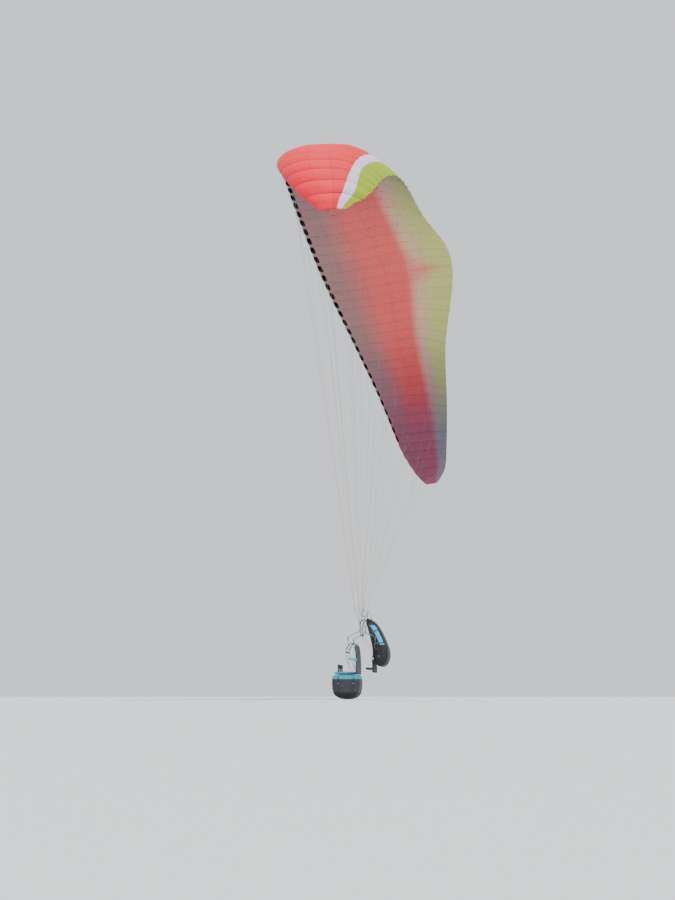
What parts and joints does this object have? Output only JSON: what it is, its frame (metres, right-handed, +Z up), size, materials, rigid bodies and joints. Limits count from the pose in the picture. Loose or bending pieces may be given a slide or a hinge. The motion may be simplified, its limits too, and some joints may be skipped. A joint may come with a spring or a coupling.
{
  "type": "tandem paraglider",
  "caption": "Two-seat paraglider: arched cell canopy with open nose, branching lines, risers, spreaders and two hanging harnesses.",
  "frame": {"origin": "centre of the canopy's lower skin, straight above the main hang axis", "axes": "+X forward in flight, +Y to the left wing tip, +Z up"},
  "size_m": [3.3463, 12.4068, 10.5745],
  "materials": {
    "canopy": "coated ripstop cloth",
    "line_red": "sheathed cord",
    "line_green": "sheathed cord",
    "line_grey": "bare cord",
    "webbing": "woven webbing",
    "teal": "woven webbing and cloth",
    "harness": "padded pack cloth",
    "grey": "padded pack cloth",
    "steel": "bright",
    "alloy": "anodised",
    "grip": "satin"
  },
  "bodies": {
    "wing": {"canopy_center": "canopy", "canopy_left_1": "canopy", "canopy_left_2": "canopy", "canopy_left_3": "canopy", "canopy_left_4": "canopy", "canopy_right_1": "canopy", "canopy_right_2": "canopy", "canopy_right_3": "canopy", "canopy_right_4": "canopy", "lines_a_left": "line_red", "lines_a_right": "line_red", "lines_b_left": "line_green", "lines_b_right": "line_green", "lines_c_left": "line_grey", "lines_c_right": "line_grey", "brake_lines_left": "line_green", "brake_lines_right": "line_green", "link_a_left": "steel", "link_b_left": "steel", "link_c_left": "steel", "link_a_right": "steel", "link_b_right": "steel", "link_c_right": "steel", "riser_left": "webbing", "riser_right": "webbing", "brake_handle_left": "grip", "brake_handle_right": "grip"},
    "spreaders": {"carabiner_main_left": "alloy", "carabiner_main_right": "alloy", "spreader_left": "teal", "spreader_right": "teal"},
    "pilot_harness": {"carabiner_pilot_left": "alloy", "carabiner_pilot_right": "alloy", "pilot_back": "harness", "pilot_shoulder_straps": "webbing", "pilot_strap_left": "webbing", "pilot_strap_right": "webbing"},
    "pilot_seat": {"pilot_seat": "harness", "pilot_leg_straps": "webbing"},
    "passenger_harness": {"carabiner_passenger_left": "alloy", "carabiner_passenger_right": "alloy", "passenger_back": "grey", "passenger_airbag": "grey", "passenger_shoulder_straps": "webbing", "passenger_strap_left": "teal", "passenger_strap_right": "teal"},
    "passenger_seat": {"passenger_seat": "teal", "passenger_leg_straps": "webbing"}
  },
  "joints": [
    {"name": "main_hang", "type": "hinge", "parent": "wing", "child": "spreaders", "pos_m": [0, 0, -8.66], "axis": [0, 1, 0], "range_deg": [-20, 20]},
    {"name": "pilot_swing", "type": "hinge", "parent": "spreaders", "child": "pilot_harness", "pos_m": [-0.297, 0, -8.85], "axis": [0, 1, 0], "range_deg": [-2, 25]},
    {"name": "passenger_swing", "type": "hinge", "parent": "spreaders", "child": "passenger_harness", "pos_m": [0.255, 0, -8.85], "axis": [0, 1, 0], "range_deg": [-25, 2]},
    {"name": "pilot_seat_fold", "type": "hinge", "parent": "pilot_harness", "child": "pilot_seat", "pos_m": [-0.222, 0, -9.25], "axis": [0, 1, 0], "range_deg": [-75, 0]},
    {"name": "passenger_seat_fold", "type": "hinge", "parent": "passenger_harness", "child": "passenger_seat", "pos_m": [0.15, 0, -9.506], "axis": [0, 1, 0], "range_deg": [-60, 0]}
  ]
}
